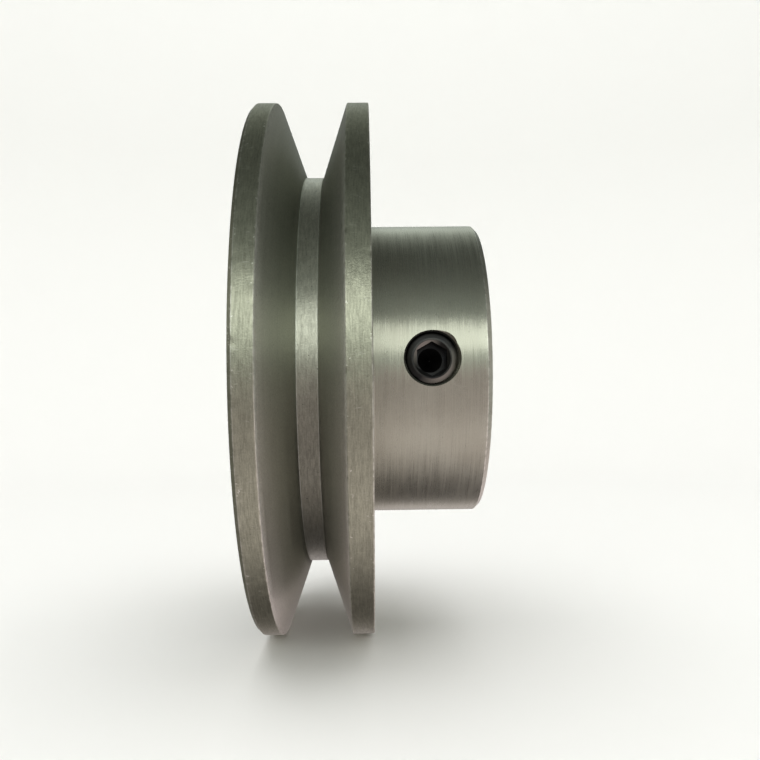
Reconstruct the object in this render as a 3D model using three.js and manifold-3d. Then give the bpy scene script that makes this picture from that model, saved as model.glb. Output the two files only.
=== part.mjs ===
// Single-groove V belt pulley: a sheave and hub turned from one bar, and the hexagon socket
// set screw that locks it to its shaft. Millimetres, +Z up. The shaft axis is X. The origin is
// on that axis, half-way along the pulley, in the plane where the sheave ends and the hub starts.
import * as THREE from 'three';
import { mergeVertices } from 'three/addons/utils/BufferGeometryUtils.js';
import Module from 'manifold-3d';

const wasm = await Module();
wasm.setup();

// ---- Driving dimensions ----
const OUTER_RADIUS = 50;
const SHEAVE_WIDTH = 20;
const HUB_LENGTH = 20;
const HUB_RADIUS = 27.7;
const BORE_RADIUS = 12;

// Belt groove: a 38 degree V for a 13 mm wide belt, centred on the sheave.
const GROOVE_HALF_ANGLE = THREE.MathUtils.degToRad(19);
const GROOVE_FLOOR_WIDTH = 3.4;
const GROOVE_DEPTH = 13.15;
const FLOOR_CORNER = 0.25;

// Edges.
const RIM_CHAMFER = 0.6; // on the outer side of the sheave
const EDGE_BREAK = 0.2; // at the two groove edges and on the hub side of the sheave
const HUB_CHAMFER = 0.8;
const BORE_CHAMFER = 1;
const HUB_FILLET = 0.4;

// Keyway for an 8 mm wide key, under the set screw.
const KEYWAY_WIDTH = 8;
const KEYWAY_FLOOR_RADIUS = 15.3;

// M10 set screw with a cup point, pointing to -Y from the middle of the hub.
const SCREW_RADIUS = 4.9;
const SCREW_LENGTH = 10;
const SCREW_TIP_RADIUS = 16.5; // how far the point stands from the shaft axis
const SCREW_HEAD_CHAMFER = 1.15;
const SCREW_HEAD_ANGLE = THREE.MathUtils.degToRad(30); // between its chamfer and its face
const SCREW_POINT_CHAMFER = 1.6;
const CUP_RADIUS = 2.6;
const CUP_DEPTH = 1.5;
const SOCKET_ACROSS_FLATS = 5;
const SOCKET_DEPTH = 5;
const SOCKET_CHAMFER = 0.35;
const DRILL_POINT_DEPTH = 1.2;
const TAPPED_HOLE_RADIUS = 5;

// How finely round things are divided.
const TURNS = 96;
const SMALL_TURNS = 48;
const ARC_STEPS = 2; // an arc in a profile gets twice this many segments
const SAME_POINT = 1e-4; // corners closer than this are one corner
const OVERCUT = 1; // how far a cutting solid runs on past the metal
const OVERLAP = 0.1; // how far two joined cutting solids run into each other

// ---- Places worked out from the dimensions ----
const LEFT_FACE = -SHEAVE_WIDTH;
const GROOVE_CENTRE = -SHEAVE_WIDTH / 2;
const FLOOR_RADIUS = OUTER_RADIUS - GROOVE_DEPTH;
const FLANK_TOP_RADIUS = OUTER_RADIUS - EDGE_BREAK;
const FLOOR_HALF = GROOVE_FLOOR_WIDTH / 2;
const FLANK_TOP_HALF = FLOOR_HALF + (FLANK_TOP_RADIUS - FLOOR_RADIUS) * Math.tan(GROOVE_HALF_ANGLE);
const MOUTH_HALF = FLANK_TOP_HALF + EDGE_BREAK;
const SCREW_X = HUB_LENGTH / 2;

// ---- Materials ----
const steel = new THREE.MeshStandardMaterial({ color: 0x8d8c82, roughness: 0.42, metalness: 1 });
const blackOxide = new THREE.MeshStandardMaterial({ color: 0x1d1d1f, roughness: 0.35, metalness: 1 });

// ---- Solids ----

// A closed three.js geometry as a manifold solid.
function solidFrom(geometry) {
  const bare = geometry.clone();
  bare.deleteAttribute('normal');
  bare.deleteAttribute('uv');
  const merged = mergeVertices(bare, SAME_POINT);
  return new wasm.Manifold(new wasm.Mesh({
    numProp: 3,
    vertProperties: merged.attributes.position.array,
    triVerts: new Uint32Array(merged.index.array),
  }));
}

// A manifold solid as a three.js geometry.
function geometryFrom(solid) {
  const cut = solid.getMesh();
  const geometry = new THREE.BufferGeometry();
  geometry.setAttribute('position', new THREE.BufferAttribute(cut.vertProperties, 3));
  geometry.setIndex(new THREE.BufferAttribute(cut.triVerts, 1));
  geometry.computeVertexNormals();
  return geometry;
}

function namedMesh(name, solid, material) {
  const mesh = new THREE.Mesh(geometryFrom(solid), material);
  mesh.name = name;
  return mesh;
}

// A profile of (radius, distance along the axis) turned about Y.
function turned(profile, segments) {
  return new THREE.LatheGeometry(profile.getPoints(ARC_STEPS), segments);
}

// ---- Pulley body ----

// The half section of the sheave and hub, drawn anticlockwise with x as the radius and y as the
// distance along the shaft axis.
function bodyProfile() {
  const profile = new THREE.Path();
  profile.moveTo(BORE_RADIUS, LEFT_FACE + BORE_CHAMFER);
  profile.lineTo(BORE_RADIUS + BORE_CHAMFER, LEFT_FACE);
  profile.lineTo(OUTER_RADIUS - RIM_CHAMFER, LEFT_FACE);
  profile.lineTo(OUTER_RADIUS, LEFT_FACE + RIM_CHAMFER);
  // Belt groove, with a narrow chamfer where each flank meets the groove floor.
  profile.lineTo(OUTER_RADIUS, GROOVE_CENTRE - MOUTH_HALF);
  profile.lineTo(FLANK_TOP_RADIUS, GROOVE_CENTRE - FLANK_TOP_HALF);
  profile.lineTo(FLOOR_RADIUS + FLOOR_CORNER, GROOVE_CENTRE - flankHalf(FLOOR_RADIUS + FLOOR_CORNER));
  profile.lineTo(FLOOR_RADIUS, GROOVE_CENTRE - FLOOR_HALF + FLOOR_CORNER);
  profile.lineTo(FLOOR_RADIUS, GROOVE_CENTRE + FLOOR_HALF - FLOOR_CORNER);
  profile.lineTo(FLOOR_RADIUS + FLOOR_CORNER, GROOVE_CENTRE + flankHalf(FLOOR_RADIUS + FLOOR_CORNER));
  profile.lineTo(FLANK_TOP_RADIUS, GROOVE_CENTRE + FLANK_TOP_HALF);
  profile.lineTo(OUTER_RADIUS, GROOVE_CENTRE + MOUTH_HALF);
  // Hub-side face of the sheave, and the fillet left by the nose of the turning tool.
  profile.lineTo(OUTER_RADIUS, -EDGE_BREAK);
  profile.lineTo(OUTER_RADIUS - EDGE_BREAK, 0);
  profile.lineTo(HUB_RADIUS + HUB_FILLET, 0);
  profile.absarc(HUB_RADIUS + HUB_FILLET, HUB_FILLET, HUB_FILLET, -Math.PI / 2, -Math.PI, true);
  profile.lineTo(HUB_RADIUS, HUB_LENGTH - HUB_CHAMFER);
  profile.lineTo(HUB_RADIUS - HUB_CHAMFER, HUB_LENGTH);
  profile.lineTo(BORE_RADIUS + BORE_CHAMFER, HUB_LENGTH);
  profile.lineTo(BORE_RADIUS, HUB_LENGTH - BORE_CHAMFER);
  profile.lineTo(BORE_RADIUS, LEFT_FACE + BORE_CHAMFER);
  return profile;
}

// Half the width of the belt groove at a radius.
function flankHalf(radius) {
  return FLOOR_HALF + (radius - FLOOR_RADIUS) * Math.tan(GROOVE_HALF_ANGLE);
}

function pulleyBody() {
  const blank = solidFrom(turned(bodyProfile(), TURNS).rotateZ(-Math.PI / 2));

  const length = SHEAVE_WIDTH + HUB_LENGTH + 2 * OVERCUT;
  const keyway = new THREE.BoxGeometry(length, KEYWAY_FLOOR_RADIUS, KEYWAY_WIDTH);
  keyway.translate(0, -KEYWAY_FLOOR_RADIUS / 2, 0);

  const holeFrom = BORE_RADIUS - TAPPED_HOLE_RADIUS;
  const holeTo = HUB_RADIUS + OVERCUT;
  const tappedHole = new THREE.CylinderGeometry(
    TAPPED_HOLE_RADIUS, TAPPED_HOLE_RADIUS, holeTo - holeFrom, SMALL_TURNS);
  tappedHole.translate(SCREW_X, -(holeFrom + holeTo) / 2, 0);

  const body = blank.subtract(solidFrom(keyway)).subtract(solidFrom(tappedHole));
  return namedMesh('pulley_body', body, steel);
}

// ---- Set screw ----

// The half section of the screw without its socket, from the cup at the bottom to the face that
// the key goes into, at the top.
function screwProfile() {
  const rim = SCREW_RADIUS - SCREW_POINT_CHAMFER;
  const headDrop = SCREW_HEAD_CHAMFER * Math.tan(SCREW_HEAD_ANGLE);
  const profile = new THREE.Path();
  profile.moveTo(0, CUP_DEPTH);
  profile.lineTo(CUP_RADIUS, 0);
  profile.lineTo(rim, 0);
  profile.lineTo(SCREW_RADIUS, SCREW_POINT_CHAMFER);
  profile.lineTo(SCREW_RADIUS, SCREW_LENGTH - headDrop);
  profile.lineTo(SCREW_RADIUS - SCREW_HEAD_CHAMFER, SCREW_LENGTH);
  profile.lineTo(0, SCREW_LENGTH);
  return profile;
}

// The hexagon, its chamfered mouth and the drilled point below it, as one cutter.
function socketCutter() {
  const corner = SOCKET_ACROSS_FLATS / Math.sqrt(3);
  const socketFloor = SCREW_LENGTH - SOCKET_DEPTH;
  const hexagonHeight = SOCKET_DEPTH + OVERCUT;
  const hexagon = new THREE.CylinderGeometry(corner, corner, hexagonHeight, 6);
  hexagon.translate(0, socketFloor + hexagonHeight / 2, 0);

  const mouth = new THREE.Path();
  mouth.moveTo(0, SCREW_LENGTH - SOCKET_CHAMFER - corner);
  mouth.lineTo(corner + SOCKET_CHAMFER + OVERCUT, SCREW_LENGTH + OVERCUT);
  mouth.lineTo(0, SCREW_LENGTH + OVERCUT);

  const drill = new THREE.Path();
  drill.moveTo(0, socketFloor - DRILL_POINT_DEPTH);
  drill.lineTo(SOCKET_ACROSS_FLATS / 2, socketFloor + OVERLAP);
  drill.lineTo(0, socketFloor + OVERLAP);

  return solidFrom(hexagon)
    .add(solidFrom(turned(mouth, SMALL_TURNS)))
    .add(solidFrom(turned(drill, SMALL_TURNS)));
}

function setScrew() {
  const shank = solidFrom(turned(screwProfile(), SMALL_TURNS));
  const screw = namedMesh('set_screw', shank.subtract(socketCutter()), blackOxide);
  // The screw is drawn with its point at the origin and its face up, and stands in the hub with
  // its face outwards.
  screw.rotation.x = Math.PI;
  screw.position.set(SCREW_X, -SCREW_TIP_RADIUS, 0);
  return screw;
}

const pulley = new THREE.Group();
pulley.name = 'v_belt_pulley';
pulley.add(pulleyBody(), setScrew());

export default pulley;
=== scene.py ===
"""A single-groove V belt pulley with its set screw: the fine meshes, materials, light and camera.

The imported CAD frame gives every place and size. Lengths below are in millimetres, and MM turns
them into Blender's metres.
"""
import math
import random

import bpy
import numpy as np
from mathutils import Matrix, Vector


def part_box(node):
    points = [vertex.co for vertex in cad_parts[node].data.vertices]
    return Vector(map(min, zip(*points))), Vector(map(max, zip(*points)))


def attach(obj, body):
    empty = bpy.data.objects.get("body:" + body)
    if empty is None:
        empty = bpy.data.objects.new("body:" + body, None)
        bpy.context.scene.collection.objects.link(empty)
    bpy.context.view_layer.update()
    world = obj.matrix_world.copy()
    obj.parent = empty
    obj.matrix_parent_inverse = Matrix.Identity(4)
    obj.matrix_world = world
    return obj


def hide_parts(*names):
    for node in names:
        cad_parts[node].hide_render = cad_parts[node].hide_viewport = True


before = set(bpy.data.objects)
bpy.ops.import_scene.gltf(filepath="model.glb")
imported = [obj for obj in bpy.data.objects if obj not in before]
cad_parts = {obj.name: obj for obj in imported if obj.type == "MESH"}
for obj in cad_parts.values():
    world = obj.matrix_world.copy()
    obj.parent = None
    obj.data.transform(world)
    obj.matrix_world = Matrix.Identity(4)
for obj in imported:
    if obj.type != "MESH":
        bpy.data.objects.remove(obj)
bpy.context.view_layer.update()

MM = 0.001

# ---- Sizes, from the frame where it holds them ----
body_low, body_high = (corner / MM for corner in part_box("pulley_body"))
screw_low, screw_high = (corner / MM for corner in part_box("set_screw"))

OUTER_RADIUS = body_high.z
SHEAVE_FACE = body_low.x
HUB_END = body_high.x
HUB_RADIUS = 27.7
BORE_RADIUS = 12.0
RIM_CHAMFER = 0.6  # on the outer side of the sheave
HUB_CHAMFER = 0.8
BORE_CHAMFER = 1.0
HUB_FILLET = 0.4

# Radii that edges are rounded to.
GROOVE_EDGE = 0.22
HUB_SIDE_EDGE = 0.22
BORE_EDGE = 0.08
FACE_EDGE = 0.1
RIM_EDGE = 0.14
HUB_EDGE = 0.12
FLOOR_EDGE = 0.12

GROOVE_CENTRE = SHEAVE_FACE / 2
GROOVE_HALF_ANGLE = math.radians(19)
GROOVE_DEPTH = 13.15
FLOOR_RADIUS = OUTER_RADIUS - GROOVE_DEPTH
FLOOR_HALF = 1.7
MOUTH_HALF = FLOOR_HALF + (OUTER_RADIUS - FLOOR_RADIUS) * math.tan(GROOVE_HALF_ANGLE)

KEYWAY_HALF = 4.0
KEYWAY_FLOOR_RADIUS = 15.3

SCREW_X = (screw_low.x + screw_high.x) / 2
SCREW_TIP = -screw_high.y  # distances of the screw's two ends from the shaft axis
SCREW_FACE = -screw_low.y
THREAD_RADIUS = 5.0
THREAD_PITCH = 1.5
THREAD_DEPTH = 0.812
THREAD_CREST = 0.094  # half the flat on a crest
THREAD_START = 0.81  # where on its turn the thread meets the hub, in turns
# The hole's mouth opens a little, from the thread's root up to the hub: (height, radius) pairs.
HOLE_MOUTH = [(HUB_RADIUS - 1.9, 4.19), (HUB_RADIUS + 1.1, 5.12)]
SCREW_SLACK = 0.07  # how far the screw's thread stands back from the hole's
FACE_CHAMFER = 1.15
FACE_CHAMFER_ANGLE = math.radians(60)  # between the chamfer and the screw's axis
FACE_FLAT = 3.3  # outside this radius the face falls away gently, before its chamfer
FACE_FALL_ANGLE = math.radians(15)
POINT_CHAMFER = 1.6
CUP_RADIUS = 2.7
CUP_DEPTH = 1.5
SOCKET_FLAT = 5.0
SOCKET_DEPTH = 5.0
SOCKET_CORNER = SOCKET_FLAT / math.sqrt(3)
DRILL_RADIUS = 2.45
DRILL_POINT_DEPTH = 1.2
MOUTH_RADIUS = SOCKET_CORNER + 0.25  # of the cone that opens the socket, at the face
# The two ends of that cone's cutter, as (height, radius) from its edge at the face.
MOUTH_CONE = [(-0.52, -0.9), (0.3, 0.52)]

EDGE_BAND = 0.11  # how far the bright wear of an edge reaches along its faces
NICK_BAND = 0.8  # how far from an edge the surface has bright nicks
# Dents pressed into the rim edges. The pairs are the smallest and the largest.
NICK_WIDTH = (0.25, 0.5)  # along the edge
NICK_REACH = (0.2, 0.45)  # across the edge
NICK_DEPTH = (0.03, 0.1)
NICK_FADE = 0.5  # how quickly a dent fades towards the shaft
NICK_LIMIT = 1.4  # nothing further in than this is dented
NICK_SEED = 11

# How far the marks that choose a finish run past the edges of their surface.
RIM_MARGIN = 0.1
FLOOR_MARGIN = 0.3
FLOOR_RISE = 0.2
WALL_MARGIN = 0.15
HOLE_MARGIN = 0.3
SKIN = 0.02  # how near a surface a point has to be to count as on it

PROFILE_STEP = 1.1
ARC_STEPS = 5
BODY_TURN_STEPS = 720
THREAD_TURN_STEPS = 96
THREAD_ROW = THREAD_PITCH / 20
CONE_TURN_STEPS = 48
MOUTH_TURN_STEPS = 64
CONE_TIP = 0.05  # the radius that stands for the point of a cone
# How far each cutter runs past the metal.
OVERCUT = 2
SOCKET_OVERCUT = 1
DRILL_OVERCUT = 0.2
CUP_OVERCUT = 0.1
TAP_FROM = 9  # where the tap's cutter starts and ends, from the shaft axis
TAP_TO = HUB_RADIUS + 1.5


# ---- Mesh helpers ----

def mesh_object(name, points, faces):
    """A mesh object from points in millimetres."""
    mesh = bpy.data.meshes.new(name)
    mesh.from_pydata([tuple(p) for p in np.asarray(points) * MM], [], faces)
    mesh.validate()
    thing = bpy.data.objects.new(name, mesh)
    bpy.context.scene.collection.objects.link(thing)
    return thing


def revolve(name, profile, steps, closed_profile):
    """Turns a profile of (height, radius) about +Z. An open profile has flat ends."""
    profile = np.asarray(profile)
    rings = len(profile)
    turn = np.arange(steps) * 2 * math.pi / steps
    height = np.repeat(profile[:, 0], steps)
    radius = np.repeat(profile[:, 1], steps)
    angle = np.tile(turn, rings)
    points = np.stack([radius * np.cos(angle), radius * np.sin(angle), height], 1)
    return mesh_object(name, points, grid_faces(rings, steps, closed_profile))


def grid_faces(rings, steps, closed_profile):
    """Quads between neighbouring rings, and a cap at each end if the profile is open."""
    faces = []
    for ring in range(rings if closed_profile else rings - 1):
        here = ring * steps
        there = (ring + 1) % rings * steps
        for i in range(steps):
            j = (i + 1) % steps
            faces.append((here + i, here + j, there + j, there + i))
    if not closed_profile:
        faces.append(tuple(reversed(range(steps))))
        faces.append(tuple(range((rings - 1) * steps, rings * steps)))
    return faces


def arc_corner(before, corner, after, radius, steps):
    """The points that round off a corner of an outline with an arc of the given radius."""
    to_before = (before - corner).normalized()
    to_after = (after - corner).normalized()
    half = to_before.angle(to_after) / 2
    centre = corner + (to_before + to_after).normalized() * radius / math.sin(half)
    start = corner + to_before * radius / math.tan(half) - centre
    end = corner + to_after * radius / math.tan(half) - centre
    points = []
    for i in range(steps + 1):
        share = i / steps
        points.append(centre + start.slerp(end, share).normalized() * radius)
    return points


def rounded_outline(corners, step):
    """A closed outline of (x, radius) with rounded corners. Each straight stretch has a point just
    inside both its ends, and points at most step apart between them."""
    outline = []
    count = len(corners)
    for i, (x, r, rounding) in enumerate(corners):
        here = Vector((x, r))
        before = Vector(corners[i - 1][:2])
        after = Vector(corners[(i + 1) % count][:2])
        outline += arc_corner(before, here, after, rounding, ARC_STEPS)
    fine = []
    for here, after in zip(outline, outline[1:] + outline[:1]):
        fine.append(here)
        length = (after - here).length
        if length > 4 * EDGE_BAND:
            first = here.lerp(after, EDGE_BAND / length)
            last = after.lerp(here, EDGE_BAND / length)
            pieces = max(1, math.ceil(length / step))
            fine += [first.lerp(last, k / pieces) for k in range(pieces + 1)]
    return [tuple(p) for p in fine]


def cut(target, cutter):
    """Takes the cutter's solid out of the target and removes the cutter."""
    boolean = target.modifiers.new("cut", "BOOLEAN")
    boolean.operation = "DIFFERENCE"
    boolean.solver = "MANIFOLD"
    boolean.object = cutter
    graph = bpy.context.evaluated_depsgraph_get()
    result = bpy.data.meshes.new_from_object(target.evaluated_get(graph))
    target.modifiers.clear()
    target.data = result
    bpy.data.objects.remove(cutter)


def place(thing, matrix):
    thing.data.transform(matrix)


def block(name, low, high):
    """A box between two corners, to cut with."""
    xs, ys, zs = zip(low, high)
    points = [(x, y, z) for z in zs for y in ys for x in xs]
    faces = [(0, 2, 3, 1), (4, 5, 7, 6), (0, 1, 5, 4), (2, 6, 7, 3), (0, 4, 6, 2), (1, 3, 7, 5)]
    return mesh_object(name, points, faces)


def smooth(thing, sharp_degrees):
    thing.data.shade_smooth()
    thing.data.set_sharp_from_angle(angle=math.radians(sharp_degrees))


def add_attribute(thing, name, values):
    attribute = thing.data.attributes.new(name, "FLOAT", "POINT")
    attribute.data.foreach_set("value", np.asarray(values, np.float32))


def coordinates(thing):
    """The mesh's points as an array in millimetres."""
    flat = np.zeros(len(thing.data.vertices) * 3)
    thing.data.vertices.foreach_get("co", flat)
    return flat.reshape(-1, 3) / MM


# ---- Threads ----

def thread_radius(phase, grow):
    """The radius of a 60 degree thread at a phase from 0 to 1, with the crest at 0.5."""
    from_crest = np.abs(phase - 0.5) * THREAD_PITCH
    fall = np.maximum(0, from_crest - THREAD_CREST) * math.tan(math.radians(60))
    return THREAD_RADIUS - np.minimum(fall, THREAD_DEPTH) + grow


def threaded_rod(name, low, high, grow, limit):
    """A right-hand threaded rod on +Z from low to high. limit(height) is its largest radius."""
    rows = int(round((high - low) / THREAD_ROW)) + 1
    height, turn = np.meshgrid(
        np.linspace(low, high, rows), np.arange(THREAD_TURN_STEPS) / THREAD_TURN_STEPS,
        indexing="ij")
    phase = ((height - HUB_RADIUS) / THREAD_PITCH - turn + THREAD_START) % 1
    radius = np.minimum(thread_radius(phase, grow), limit(height))
    angle = turn * 2 * math.pi
    points = np.stack([radius * np.cos(angle), radius * np.sin(angle), height], -1)
    return mesh_object(name, points.reshape(-1, 3), grid_faces(rows, THREAD_TURN_STEPS, False))


# The screw's own axis: its +Z is the world's -Y, and its +X stays the world's +X.
SCREW_FRAME = Matrix.Translation((SCREW_X * MM, 0, 0)) @ Matrix.Rotation(math.pi / 2, 4, "X")


# ---- Pulley body ----

def body_outline():
    """The half section of the sheave and hub. Each corner is (x, radius, rounding)."""
    corners = [
        (SHEAVE_FACE + BORE_CHAMFER, BORE_RADIUS, BORE_EDGE),
        (SHEAVE_FACE, BORE_RADIUS + BORE_CHAMFER, FACE_EDGE),
        (SHEAVE_FACE, OUTER_RADIUS - RIM_CHAMFER, RIM_EDGE),
        (SHEAVE_FACE + RIM_CHAMFER, OUTER_RADIUS, RIM_EDGE),
        (GROOVE_CENTRE - MOUTH_HALF, OUTER_RADIUS, GROOVE_EDGE),
        (GROOVE_CENTRE - FLOOR_HALF, FLOOR_RADIUS, FLOOR_EDGE),
        (GROOVE_CENTRE + FLOOR_HALF, FLOOR_RADIUS, FLOOR_EDGE),
        (GROOVE_CENTRE + MOUTH_HALF, OUTER_RADIUS, GROOVE_EDGE),
        (0, OUTER_RADIUS, HUB_SIDE_EDGE),
        (0, HUB_RADIUS, HUB_FILLET),
        (HUB_END - HUB_CHAMFER, HUB_RADIUS, HUB_EDGE),
        (HUB_END, HUB_RADIUS - HUB_CHAMFER, HUB_EDGE),
        (HUB_END, BORE_RADIUS + BORE_CHAMFER, FACE_EDGE),
        (HUB_END - BORE_CHAMFER, BORE_RADIUS, BORE_EDGE),
    ]
    return rounded_outline(corners, PROFILE_STEP)


# The edges that show wear, as (x, radius).
EDGE_LINES = [
    (SHEAVE_FACE, OUTER_RADIUS - RIM_CHAMFER),
    (SHEAVE_FACE + RIM_CHAMFER, OUTER_RADIUS),
    (GROOVE_CENTRE - MOUTH_HALF, OUTER_RADIUS),
    (GROOVE_CENTRE + MOUTH_HALF, OUTER_RADIUS),
    (-HUB_SIDE_EDGE / 3, OUTER_RADIUS - HUB_SIDE_EDGE / 3),
    (HUB_END - HUB_CHAMFER, HUB_RADIUS),
    (HUB_END, HUB_RADIUS - HUB_CHAMFER),
    (HUB_END, BORE_RADIUS + BORE_CHAMFER),
    (SHEAVE_FACE, BORE_RADIUS + BORE_CHAMFER),
]


def nick_edges(thing, seed):
    """Presses small dents into the four edges of the two rims."""
    rng = random.Random(seed)
    points = coordinates(thing)
    radius = np.hypot(points[:, 1], points[:, 2])
    angle = np.arctan2(points[:, 2], points[:, 1])
    # Each edge is (x, number of dents).
    edges = [
        (SHEAVE_FACE + RIM_CHAMFER, 16),
        (GROOVE_CENTRE - MOUTH_HALF, 30),
        (GROOVE_CENTRE + MOUTH_HALF, 40),
        (-HUB_SIDE_EDGE / 2, 22),
    ]
    near_rim = radius > OUTER_RADIUS - NICK_LIMIT
    sink = np.zeros(len(points))
    for edge, count in edges:
        for _ in range(count):
            where = rng.uniform(-math.pi, math.pi)
            width = rng.uniform(*NICK_WIDTH)
            depth = rng.uniform(*NICK_DEPTH)
            turn = (angle - where + math.pi) % (2 * math.pi) - math.pi
            along = turn * OUTER_RADIUS / width
            across = (points[:, 0] - edge) / rng.uniform(*NICK_REACH)
            down = (radius - OUTER_RADIUS) / NICK_FADE
            sink += near_rim * depth * np.exp(-(along**2 + across**2 + down**2))
    scale = 1 - sink / radius
    points[:, 1] *= scale
    points[:, 2] *= scale
    thing.data.vertices.foreach_set("co", (points * MM).ravel())


def mark_body(thing):
    """Stores where the body is worn, which finish it has and where it is threaded."""
    points = coordinates(thing)
    radius = np.hypot(points[:, 1], points[:, 2])
    from_edge = np.min([np.hypot(points[:, 0] - x, radius - r) for x, r in EDGE_LINES], axis=0)
    wear = np.exp(-(from_edge / EDGE_BAND) ** 2)
    near_edge = np.exp(-(from_edge / NICK_BAND) ** 2)
    off_centre = np.abs(points[:, 0] - GROOVE_CENTRE)
    on_sheave = (points[:, 0] < SKIN) & (radius > BORE_RADIUS * 2)
    rim = on_sheave & (radius > OUTER_RADIUS - RIM_CHAMFER - RIM_MARGIN)
    floor = on_sheave & (off_centre < FLOOR_HALF + FLOOR_MARGIN)
    floor &= radius < FLOOR_RADIUS + FLOOR_RISE
    wall = on_sheave & (off_centre > FLOOR_HALF - WALL_MARGIN)
    wall &= off_centre < MOUTH_HALF - SKIN
    off_screw = np.hypot(points[:, 0] - SCREW_X, points[:, 2])
    hole = (off_screw < THREAD_RADIUS + HOLE_MARGIN) & (points[:, 1] < -BORE_RADIUS)
    hole &= radius < HUB_RADIUS - SKIN
    marks = {
        "wear": wear, "near_edge": near_edge, "rim": rim, "floor": floor, "wall": wall, "hole": hole}
    for name, values in marks.items():
        add_attribute(thing, name, values)


def make_body():
    body = revolve("pulley_metal", body_outline(), BODY_TURN_STEPS, True)
    # The lathe axis +Z becomes the shaft axis +X.
    place(body, Matrix.Rotation(math.pi / 2, 4, "Y"))
    body.data.flip_normals()
    cut(body, block(
        "keyway_cutter", (SHEAVE_FACE - OVERCUT, -KEYWAY_FLOOR_RADIUS, -KEYWAY_HALF),
        (HUB_END + OVERCUT, 0, KEYWAY_HALF)))
    tap = threaded_rod("tap_cutter", TAP_FROM, TAP_TO, 0, lambda height: np.inf)
    place(tap, SCREW_FRAME)
    cut(body, tap)
    countersink = revolve("countersink_cutter", HOLE_MOUTH, THREAD_TURN_STEPS, False)
    place(countersink, SCREW_FRAME)
    cut(body, countersink)
    nick_edges(body, NICK_SEED)
    smooth(body, 28)
    mark_body(body)
    return body


# ---- Set screw ----

def make_screw():
    crest = THREAD_RADIUS - SCREW_SLACK
    socket_floor = SCREW_FACE - SOCKET_DEPTH

    def limit(height):
        from_face = SCREW_FACE - height
        fall = FACE_FLAT + from_face / math.tan(FACE_FALL_ANGLE)
        chamfer = crest - FACE_CHAMFER + from_face * math.tan(FACE_CHAMFER_ANGLE)
        point = crest - POINT_CHAMFER + height - SCREW_TIP
        return np.minimum(np.minimum(fall, chamfer), point)

    screw = threaded_rod("screw_metal", SCREW_TIP, SCREW_FACE, -SCREW_SLACK, limit)
    hexagon_profile = [(socket_floor, SOCKET_CORNER), (SCREW_FACE + SOCKET_OVERCUT, SOCKET_CORNER)]
    hexagon = revolve("socket_cutter", hexagon_profile, 6, False)
    place(hexagon, Matrix.Rotation(math.pi / 6, 4, "Z"))
    cut(screw, hexagon)
    mouth_profile = [(SCREW_FACE + height, MOUTH_RADIUS + radius) for height, radius in MOUTH_CONE]
    cut(screw, revolve("mouth_cutter", mouth_profile, MOUTH_TURN_STEPS, False))
    drill_profile = [
        (socket_floor - DRILL_POINT_DEPTH, CONE_TIP), (socket_floor + DRILL_OVERCUT, DRILL_RADIUS)]
    cut(screw, revolve("drill_cutter", drill_profile, CONE_TURN_STEPS, False))
    cup_profile = [(SCREW_TIP - CUP_OVERCUT, CUP_RADIUS), (SCREW_TIP + CUP_DEPTH, CONE_TIP)]
    cut(screw, revolve("cup_cutter", cup_profile, CONE_TURN_STEPS, False))
    place(screw, SCREW_FRAME)
    smooth(screw, 30)
    return screw


# ---- Materials ----

class Nodes:
    """Builds a node tree a line at a time."""

    def __init__(self, material):
        material.use_nodes = True
        self.tree = material.node_tree
        self.tree.nodes.clear()

    def add(self, kind, inputs=None, **settings):
        node = self.tree.nodes.new(kind)
        for name, value in settings.items():
            setattr(node, name, value)
        for name, value in (inputs or {}).items():
            socket = node.inputs[name]
            if isinstance(value, bpy.types.NodeSocket):
                self.tree.links.new(value, socket)
            else:
                socket.default_value = value
        return node

    def math(self, operation, a, b=0.0, c=0.0):
        node = self.add("ShaderNodeMath", {0: a, 1: b, 2: c}, operation=operation)
        return node.outputs[0]

    def remap(self, value, low, high, to_low, to_high):
        node = self.add("ShaderNodeMapRange", {
            "Value": value, "From Min": low, "From Max": high, "To Min": to_low, "To Max": to_high})
        return node.outputs["Result"]

    def mix(self, share, first, second, blend="MIX"):
        node = self.add("ShaderNodeMix", data_type="RGBA", blend_type=blend)
        for index, value in ((0, share), (6, first), (7, second)):
            if isinstance(value, bpy.types.NodeSocket):
                self.tree.links.new(value, node.inputs[index])
            else:
                node.inputs[index].default_value = value
        return node.outputs[2]

    def attribute(self, name):
        return self.add("ShaderNodeAttribute", attribute_name=name).outputs["Fac"]

    def noise(self, vector, w, scale, detail, roughness):
        node = self.add("ShaderNodeTexNoise", {
            "Vector": vector, "W": w, "Scale": scale, "Detail": detail, "Roughness": roughness},
            noise_dimensions="4D")
        return node.outputs["Fac"]

    def weighted(self, start, parts, weights):
        """Adds each named part, times its weight, to a starting value."""
        total = start
        for name, weight in weights.items():
            total = self.math("MULTIPLY_ADD", parts[name], weight, total)
        return total

    def finish(self, shader):
        output = self.add("ShaderNodeOutputMaterial")
        self.tree.links.new(shader, output.inputs["Surface"])


def turned_coordinates(nodes):
    """Where a point is on a part turned about X: along the axis, its radius and its direction."""
    where = nodes.add("ShaderNodeTexCoord").outputs["Object"]
    x, y, z = nodes.add("ShaderNodeSeparateXYZ", {"Vector": where}).outputs
    radius = nodes.math("SQRT", nodes.math("MULTIPLY_ADD", y, y, nodes.math("MULTIPLY", z, z)))
    return where, x, radius, nodes.math("DIVIDE", y, radius), nodes.math("DIVIDE", z, radius)


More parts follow.
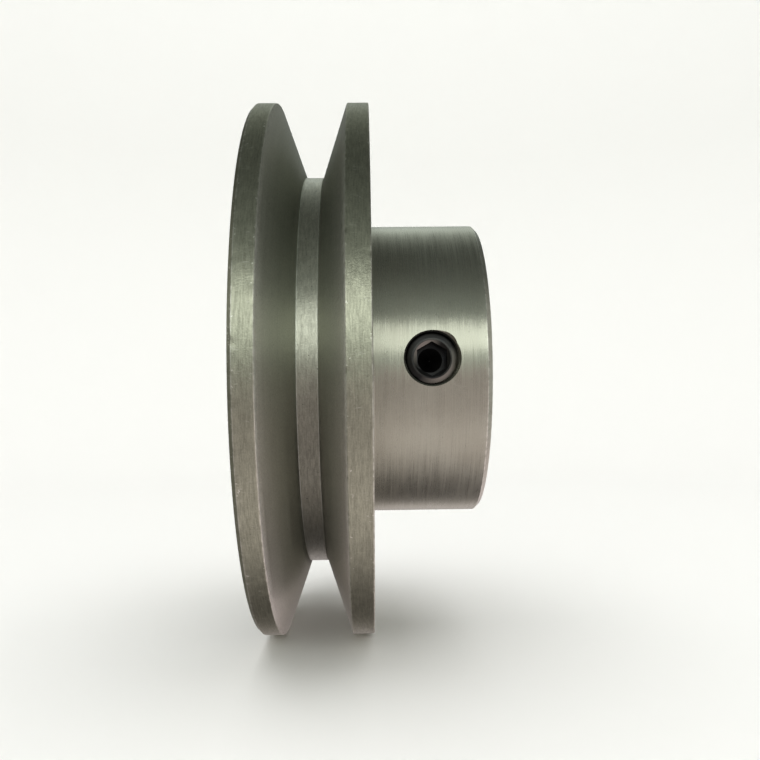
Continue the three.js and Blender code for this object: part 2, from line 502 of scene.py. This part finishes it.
def turned_lines(nodes, coords, line_width, length, detail, roughness, seed):
    """Noise drawn out round the shaft axis: line_width in millimetres, length in parts of a turn."""
    _, x, radius, across, up = coords
    per_metre = 1 / (line_width * MM)
    round_scale = 1 / (length * 2 * math.pi)
    vector = nodes.add("ShaderNodeCombineXYZ", {
        "X": nodes.math("MULTIPLY", x, per_metre),
        "Y": nodes.math("MULTIPLY", radius, per_metre),
        "Z": nodes.math("MULTIPLY_ADD", across, round_scale, seed)}).outputs[0]
    return nodes.noise(vector, nodes.math("MULTIPLY", up, round_scale), 1.0, detail, roughness)


STEEL = (0.465, 0.462, 0.395, 1)
STEEL_STAIN = (0.39, 0.375, 0.315, 1)
STEEL_RIM_SHADED = (0.40, 0.40, 0.32, 1)
STEEL_WALL_LIT = (0.92, 0.90, 0.86, 1)
STEEL_WALL_SHADED = (0.65, 0.66, 0.595, 1)
STEEL_WORN = (0.76, 0.75, 0.68, 1)
STEEL_SPECK = (0.07, 0.065, 0.055, 1)
HOLE_DARK = (0.14, 0.14, 0.12, 1)
BARE_SHEEN = (1, 1, 1, 1)
DULL_SHEEN = (0.33, 0.32, 0.30, 1)


# Noise fields of the steel: (seed, cells in a metre, detail, roughness).
FROST = (1.4, 3800, 3, 0.65)
MOTTLE = (3.4, 800, 3, 0.6)
STAIN = (0.4, 75, 3, 0.55)
DUST = (2.2, 2100, 1, 0.5)
FLECK = (5.3, 1500, 2, 0.5)
# Noise drawn out round the axis: (line width in mm, length in turns, detail, roughness, seed).
FINE_LINES = (0.15, 0.05, 4, 0.7, 3.1)
BROAD_BANDS = (0.9, 0.09, 3, 0.55, 8.7)
SCUFFS = (0.22, 0.006, 2, 0.6, 5.5)
# Scratches: (how they are turned, how they are stretched, width of the line in the noise, seed).
SCRATCHES = [
    ((0.5, 0.3, 0.4), (110, 2400, 160), 0.010, 1.7),
    ((-0.7, 0.2, 1.1), (120, 170, 2200), 0.010, 6.2),
]
# How much of each kind of mark shows in the steel's tone, its roughness and its height.
TONE_WEIGHTS = {"lines": 0.13, "bands": 0.07, "spots": 0.06, "grains": 0.12, "scuffs": 0.13}
ROUGHNESS = 0.29
ROUGHNESS_WEIGHTS = {
    "lines": 0.07, "bands": 0.03, "spots": 0.04, "frosted": 0.07, "wall": 0.05, "scuffs": -0.03,
    "scratch": 0.1}
HEIGHT_WEIGHTS = {
    "bands": 0.25, "lines": 0.4, "grains": 0.9, "spots": 0.8, "scuffs": 0.5, "scratch": -0.9,
    "holes": -1.2}
BUMP_DISTANCE = 0.01
LINE_LEAN = 0.022  # how far a line's normal leans round the shaft
BAND_LEAN = 0.7  # how much a band leans beside a line


def shade(nodes, colour, amount):
    """Multiplies a colour by a grey amount."""
    grey = nodes.add("ShaderNodeCombineColor", {"Red": amount, "Green": amount, "Blue": amount})
    return nodes.mix(1.0, colour, grey.outputs[0], "MULTIPLY")


def hairlines(nodes, where, turn, stretch, width, seed):
    """Thin broken scratches that all run one way: 1 on a scratch and 0 off it."""
    turned = nodes.add("ShaderNodeMapping", {
        "Vector": where, "Rotation": turn, "Scale": stretch}).outputs[0]
    field = nodes.noise(turned, seed, 1.0, 0, 0.5)
    from_line = nodes.math("ABSOLUTE", nodes.math("SUBTRACT", field, 0.5))
    line = nodes.remap(from_line, 0, width, 1, 0)
    breaks = nodes.noise(where, seed + 4, 560, 1, 0.5)
    return nodes.math("MULTIPLY", line, nodes.remap(breaks, 0.58, 0.66, 0, 1))


def turned_steel():
    material = bpy.data.materials.new("turned_steel")
    nodes = Nodes(material)
    coords = turned_coordinates(nodes)
    where, _, radius, across, up = coords
    wear, near_edge, rim, floor, wall, hole = (
        nodes.attribute(name) for name in ("wear", "near_edge", "rim", "floor", "wall", "hole"))
    fine = nodes.remap(turned_lines(nodes, coords, *FINE_LINES), 0.3, 0.7, -1, 1)
    broad = nodes.remap(turned_lines(nodes, coords, *BROAD_BANDS), 0.3, 0.7, -1, 1)
    frost = nodes.remap(nodes.noise(where, *FROST), 0.3, 0.7, -1, 1)
    mottle = nodes.remap(nodes.noise(where, *MOTTLE), 0.3, 0.7, -1, 1)
    stain = nodes.noise(where, *STAIN)
    dust = nodes.noise(where, *DUST)
    fleck = nodes.noise(where, *FLECK)
    scratch = nodes.math("MAXIMUM", *(hairlines(nodes, where, *kind) for kind in SCRATCHES))
    scratch = nodes.math("MULTIPLY", scratch, nodes.math("MULTIPLY_ADD", rim, 0.85, 0.15))

    scuffs = nodes.remap(turned_lines(nodes, coords, *SCUFFS), 0.35, 0.65, -1, 1)

    # The hub shows lathe lines. The rims and the groove floor are frosted and scuffed, and the
    # walls are dull.
    frosted = nodes.math("MAXIMUM", rim, floor)
    unlined = nodes.math("MAXIMUM", frosted, wall)
    lined = nodes.math("SUBTRACT", 1.0, nodes.math("MULTIPLY", unlined, 0.6))
    lines = nodes.math("MULTIPLY", fine, lined)
    bands = nodes.math("MULTIPLY", broad, lined)
    scuffs = nodes.math("MULTIPLY", scuffs, frosted)
    grains = nodes.math("MULTIPLY", frost, nodes.math("MAXIMUM", unlined, 0.25))
    spots = nodes.math("MULTIPLY", mottle, nodes.math("MULTIPLY_ADD", frosted, 0.6, 0.4))

    marks = {
        "lines": lines, "bands": bands, "spots": spots, "grains": grains, "scuffs": scuffs,
        "frosted": frosted, "wall": wall, "scratch": scratch}

    colour = nodes.mix(nodes.remap(stain, 0.42, 0.72, 0, 0.8), STEEL, STEEL_STAIN)
    # The rims get darker steel than the hub: partly their duller finish, partly painted shade for the
    # shadowed floor that they mirror.
    colour = nodes.mix(rim, colour, STEEL_RIM_SHADED)
    # Painted light and shade on the groove walls: bright near the rim, where they catch light, and
    # painted shade deeper down towards the floor.
    wall_light = nodes.remap(radius, FLOOR_RADIUS * MM, OUTER_RADIUS * MM, 0, 1)
    wall_light = nodes.math("POWER", wall_light, 2.5)
    colour = nodes.mix(wall, colour, nodes.mix(wall_light, STEEL_WALL_SHADED, STEEL_WALL_LIT))
    tone = nodes.weighted(1.0, marks, TONE_WEIGHTS)
    # Painted shade: the groove floor is darkened towards its bottom, for the shadow beneath the pulley
    # that it mirrors.
    floor_shade = nodes.math("MULTIPLY", floor, nodes.remap(up, 0.05, -0.4, 0, 0.5))
    tone = nodes.math("MULTIPLY", tone, nodes.math("SUBTRACT", 1.0, floor_shade))
    colour = shade(nodes, colour, tone)
    pits = nodes.remap(dust, 0.72, 0.77, 0, 0.8)
    pits = nodes.math("MULTIPLY", pits, nodes.math("MULTIPLY_ADD", floor, 0.6, 0.4))
    colour = nodes.mix(pits, colour, STEEL_SPECK)
    colour = nodes.mix(nodes.math("MULTIPLY", scratch, 0.6), colour, STEEL_WORN)
    chips = nodes.math("MULTIPLY", wear, nodes.remap(mottle, -0.5, 0.3, 0.25, 1))
    nicks = nodes.remap(nodes.math("MULTIPLY_ADD", near_edge, 0.12, fleck), 0.76, 0.79, 0, 0.9)
    chips = nodes.math("MAXIMUM", chips, nodes.math("MULTIPLY", nicks, rim))
    colour = nodes.mix(chips, colour, STEEL_WORN)
    # The threaded hole is made darker inside.
    colour = nodes.mix(nodes.math("MULTIPLY", hole, 0.9), colour, HOLE_DARK)

    marks["holes"] = nodes.math("ADD", pits, nicks)
    rough = nodes.weighted(ROUGHNESS, marks, ROUGHNESS_WEIGHTS)
    height = nodes.weighted(0.0, marks, HEIGHT_WEIGHTS)
    bump = nodes.add("ShaderNodeBump", {
        "Strength": 0.6, "Distance": BUMP_DISTANCE * MM, "Height": height})
    # The turning tool chattered a little: each line leans its own way round the shaft.
    lean = nodes.math("ADD", lines, nodes.math("MULTIPLY", bands, BAND_LEAN))
    lean = nodes.math("MULTIPLY", lean, LINE_LEAN)
    round_axis = nodes.add("ShaderNodeCombineXYZ", {
        "X": 0, "Y": nodes.math("MULTIPLY", up, lean),
        "Z": nodes.math("MULTIPLY", nodes.math("MULTIPLY", across, -1.0), lean)}).outputs[0]
    round_axis = nodes.add(
        "ShaderNodeVectorTransform", {"Vector": round_axis},
        vector_type="VECTOR", convert_from="OBJECT", convert_to="WORLD").outputs[0]
    leaned = nodes.add("ShaderNodeVectorMath", {0: bump.outputs[0], 1: round_axis}, operation="ADD")
    normal = nodes.add("ShaderNodeVectorMath", {0: leaned.outputs[0]}, operation="NORMALIZE").outputs[0]
    tangent = nodes.add("ShaderNodeTangent", direction_type="RADIAL", axis="X").outputs[0]

    # Dull surfaces lose the white sheen that bare metal has along its outline.
    dull = nodes.math("MAXIMUM", wall, nodes.math("MULTIPLY", rim, 0.6))
    sheen = nodes.mix(dull, BARE_SHEEN, DULL_SHEEN)
    shader = nodes.add("ShaderNodeBsdfPrincipled", {
        "Base Color": colour, "Metallic": 1.0, "Specular Tint": sheen, "Roughness": rough,
        "Anisotropic": 0.7, "Anisotropic Rotation": 0.25, "Normal": normal, "Tangent": tangent})
    nodes.finish(shader.outputs[0])
    return material


BLACKED = (0.03, 0.03, 0.033, 1)
BLACKED_DULL = (0.03, 0.029, 0.028, 1)
BLACKED_CHAMFER_HIGHLIGHT = (0.25, 0.235, 0.21, 1)
BLACKED_RUBBED = (0.26, 0.25, 0.22, 1)
# Noise fields of the black oxide: (seed, cells in a metre, detail, roughness).
BLOTCH = (0.3, 420, 3, 0.6)
GRAIN = (1.9, 5200, 2, 0.6)


def edge_line(nodes, off_axis, radius, width):
    """1 on a circle round the screw's axis, fading to 0 on both sides of it."""
    from_line = nodes.math("ABSOLUTE", nodes.math("SUBTRACT", off_axis, radius))
    return nodes.remap(from_line, 0, width, 1, 0)


def black_oxide():
    material = bpy.data.materials.new("black_oxide_steel")
    nodes = Nodes(material)
    where = nodes.add("ShaderNodeTexCoord").outputs["Object"]
    millimetres = nodes.add(
        "ShaderNodeVectorMath", {0: where, 1: (1 / MM, 1 / MM, 1 / MM)}, operation="MULTIPLY").outputs[0]
    x, y, z = nodes.add("ShaderNodeSeparateXYZ", {"Vector": millimetres}).outputs
    x = nodes.math("SUBTRACT", x, SCREW_X)
    off_axis = nodes.math("SQRT", nodes.math("MULTIPLY_ADD", x, x, nodes.math("MULTIPLY", z, z)))
    at_face = nodes.remap(y, 0.12 - SCREW_FACE, 0.3 - SCREW_FACE, 1, 0)

    blotch = nodes.noise(where, *BLOTCH)
    grain = nodes.noise(where, *GRAIN)
    wear = nodes.math(
        "MAXIMUM",
        edge_line(nodes, off_axis, FACE_FLAT, 0.07),
        edge_line(nodes, off_axis, MOUTH_RADIUS, 0.08))
    wear = nodes.math("MULTIPLY", wear, at_face)
    rubbed = nodes.math("MULTIPLY", wear, nodes.remap(blotch, 0.35, 0.65, 0, 0.35))
    colour = nodes.mix(nodes.remap(blotch, 0.35, 0.7, 0, 0.8), BLACKED, BLACKED_DULL)
    # Painted highlights: the outer edge of the face is painted bright on its lower right side and the
    # socket's mouth on its upper left side, where the chamfers catch the light.
    highlight_side = nodes.math("DIVIDE", nodes.math("SUBTRACT", x, z), off_axis)
    outer = nodes.math(
        "MULTIPLY",
        nodes.remap(off_axis, FACE_FLAT, FACE_FLAT + 0.1, 0, 1),
        nodes.remap(highlight_side, 0.3, 1.3, 0.03, 1))
    inner = nodes.math(
        "MULTIPLY",
        nodes.remap(off_axis, MOUTH_RADIUS, MOUTH_RADIUS - 0.1, 0, 1),
        nodes.remap(highlight_side, -0.3, -1.2, 0.02, 0.8))
    near_face = nodes.remap(y, 0.4 - SCREW_FACE, 0.7 - SCREW_FACE, 1, 0)
    chamfer_highlight = nodes.math("MULTIPLY", nodes.math("MAXIMUM", outer, inner), near_face)
    colour = nodes.mix(chamfer_highlight, colour, BLACKED_CHAMFER_HIGHLIGHT)
    colour = nodes.mix(rubbed, colour, BLACKED_RUBBED)
    rough = nodes.remap(nodes.math("MULTIPLY_ADD", grain, 0.5, blotch), 0.5, 1.1, 0.24, 0.42)
    bump = nodes.add("ShaderNodeBump", {
        "Strength": 0.5, "Distance": BUMP_DISTANCE * MM,
        "Height": nodes.math("MULTIPLY_ADD", grain, 0.6, blotch)})
    shader = nodes.add("ShaderNodeBsdfPrincipled", {
        "Base Color": colour, "Metallic": 1.0, "Roughness": rough, "Coat Weight": 0.05,
        "Coat Roughness": 0.2, "Normal": bump.outputs[0]})
    nodes.finish(shader.outputs[0])
    return material


def studio_white():
    material = bpy.data.materials.new("studio_white")
    nodes = Nodes(material)
    shader = nodes.add("ShaderNodeBsdfPrincipled", {
        "Base Color": (0.82, 0.815, 0.80, 1), "Roughness": 0.9, "Specular IOR Level": 0.2})
    nodes.finish(shader.outputs[0])
    return material


# ---- Stage, light and camera ----

FLOOR_Z = body_low.z - 0.02
BOWL_RADIUS = 700
BOWL_CORNER = 320
BOWL_TOP = 620
BOWL_ARC_STEPS = 16
BOWL_TURN_STEPS = 128


def make_stage():
    """A pale floor that curves up into a low round wall."""
    profile = [(FLOOR_Z, 1.0), (FLOOR_Z, BOWL_RADIUS - BOWL_CORNER)]
    for i in range(1, BOWL_ARC_STEPS + 1):
        turn = i / BOWL_ARC_STEPS * math.pi / 2
        profile.append((
            FLOOR_Z + BOWL_CORNER * (1 - math.cos(turn)),
            BOWL_RADIUS - BOWL_CORNER * (1 - math.sin(turn))))
    profile.append((FLOOR_Z + BOWL_TOP, BOWL_RADIUS))
    angle = np.arange(BOWL_TURN_STEPS) * 2 * math.pi / BOWL_TURN_STEPS
    rings = [
        np.stack([r * np.cos(angle), r * np.sin(angle), np.full(BOWL_TURN_STEPS, z)], 1)
        for z, r in profile]
    # The last face would close the bowl's top.
    faces = grid_faces(len(profile), BOWL_TURN_STEPS, False)[:-1]
    stage = mesh_object("studio_floor", np.concatenate(rings), faces)
    stage.data.flip_normals()
    smooth(stage, 60)
    stage.data.materials.append(studio_white())
    stage.visible_glossy = False


def soft_light(name, place_mm, aim_mm, size, watts, colour, glossy=True):
    light = bpy.data.lights.new(name, "AREA")
    light.shape = "RECTANGLE"
    light.size, light.size_y = size[0] * MM, size[1] * MM
    light.energy = watts
    light.color = colour
    thing = bpy.data.objects.new(name, light)
    bpy.context.scene.collection.objects.link(thing)
    thing.location = Vector(place_mm) * MM
    direction = Vector(aim_mm) - Vector(place_mm)
    thing.rotation_euler = direction.to_track_quat("-Z", "Y").to_euler()
    thing.visible_camera = False
    thing.visible_glossy = glossy


# What the metal mirrors, by the angle round the shaft axis: 0 in front, 90 overhead, 180 behind
# and -90 below.
SURROUNDINGS = [
    (-180, 0.45), (-163, 0.50), (-148, 0.66), (-130, 0.18), (-115, 0.10), (-100, 0.17), (-86, 0.42),
    (-72, 0.70), (-58, 0.80), (-46, 0.70), (-30, 0.53), (-14, 0.49), (-6, 0.62), (2, 0.95), (8, 0.95),
    (36, 0.48), (50, 0.34), (62, 0.225), (76, 0.14), (92, 0.11), (106, 0.15), (122, 0.36), (140, 0.85),
    (157, 0.50), (180, 0.45),
]
UPPER_TINT = (0.915, 1.0, 0.915)
LOWER_TINT = (1.10, 1.0, 0.96)
SIDE_HIGH = (0.125, 0.135, 0.12, 1)
SIDE_LOW_LEFT = (0.25, 0.24, 0.22, 1)
SIDE_LOW_RIGHT = (0.86, 0.76, 0.76, 1)
RIGHT_END = (0.60, 0.60, 0.57, 1)
LEFT_END_HIGH = (0.42, 0.43, 0.37, 1)
LEFT_END_LOW = (0.25, 0.25, 0.22, 1)


def make_air():
    """The soft grey surroundings, darker overhead and to the two sides."""
    world = bpy.data.worlds.new("studio_air")
    nodes = Nodes(world)
    direction = nodes.add("ShaderNodeTexCoord").outputs["Generated"]
    x, y, z = nodes.add("ShaderNodeSeparateXYZ", {"Vector": direction}).outputs
    angle = nodes.math("ARCTAN2", z, nodes.math("MULTIPLY", y, -1.0))
    ramp = nodes.add("ShaderNodeValToRGB", {"Fac": nodes.remap(angle, -math.pi, math.pi, 0, 1)})
    stops = ramp.color_ramp.elements
    while len(stops) < len(SURROUNDINGS):
        stops.new(0.5)
    for stop, (degrees, _) in zip(stops, SURROUNDINGS):
        stop.position = degrees / 360 + 0.5
    for stop, (degrees, light) in zip(stops, SURROUNDINGS):
        tint = UPPER_TINT if degrees > 0 else LOWER_TINT
        stop.color = (*(light * part for part in tint), 1)
    low = nodes.remap(z, 0.05, -0.3, 0, 1)
    right = nodes.remap(x, -0.2, 0.3, 0, 1)
    side_colour = nodes.mix(low, SIDE_HIGH, nodes.mix(right, SIDE_LOW_LEFT, SIDE_LOW_RIGHT))
    side = nodes.remap(nodes.math("ABSOLUTE", x), 0.14, 0.45, 0, 1)
    colour = nodes.mix(side, ramp.outputs["Color"], side_colour)
    colour = nodes.mix(nodes.remap(x, 0.75, 0.95, 0, 1), colour, RIGHT_END)
    left_end = nodes.mix(nodes.remap(z, 0.05, 0.25, 0, 1), LEFT_END_LOW, LEFT_END_HIGH)
    colour = nodes.mix(nodes.remap(x, -0.75, -0.95, 0, 1), colour, left_end)
    background = nodes.add("ShaderNodeBackground", {"Color": colour, "Strength": 1.0})
    output = nodes.add("ShaderNodeOutputWorld")
    nodes.tree.links.new(background.outputs[0], output.inputs["Surface"])
    bpy.context.scene.world = world


def make_lights():
    soft_light("key", (0, -430, 152), (0, 0, 0), (800, 170), 0.54, (0.96, 1.0, 0.93))
    soft_light("overhead", (0, 0, 900), (0, 0, 0), (1300, 1300), 10.0, (1.0, 1.0, 1.0), glossy=False)
    make_air()
    bpy.context.scene.view_settings.view_transform = "Standard"


LENS = 37.75
CAMERA_PLACE = (-1.04, -157.99, -9.89)
CAMERA_TURN = (92.79, 0.73, -0.99)  # in degrees


def make_camera():
    data = bpy.data.cameras.new("camera")
    data.sensor_width = 36
    data.lens = LENS
    data.clip_start = 0.005
    camera = bpy.data.objects.new("camera", data)
    bpy.context.scene.collection.objects.link(camera)
    camera.location = Vector(CAMERA_PLACE) * MM
    camera.rotation_euler = [math.radians(turn) for turn in CAMERA_TURN]
    bpy.context.scene.camera = camera


make_camera()
make_stage()
make_lights()

body = make_body()
body.data.materials.clear()
body.data.materials.append(turned_steel())
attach(body, "pulley")
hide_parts("pulley_body")

screw = make_screw()
screw.data.materials.clear()
screw.data.materials.append(black_oxide())
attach(screw, "screw")
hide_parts("set_screw")
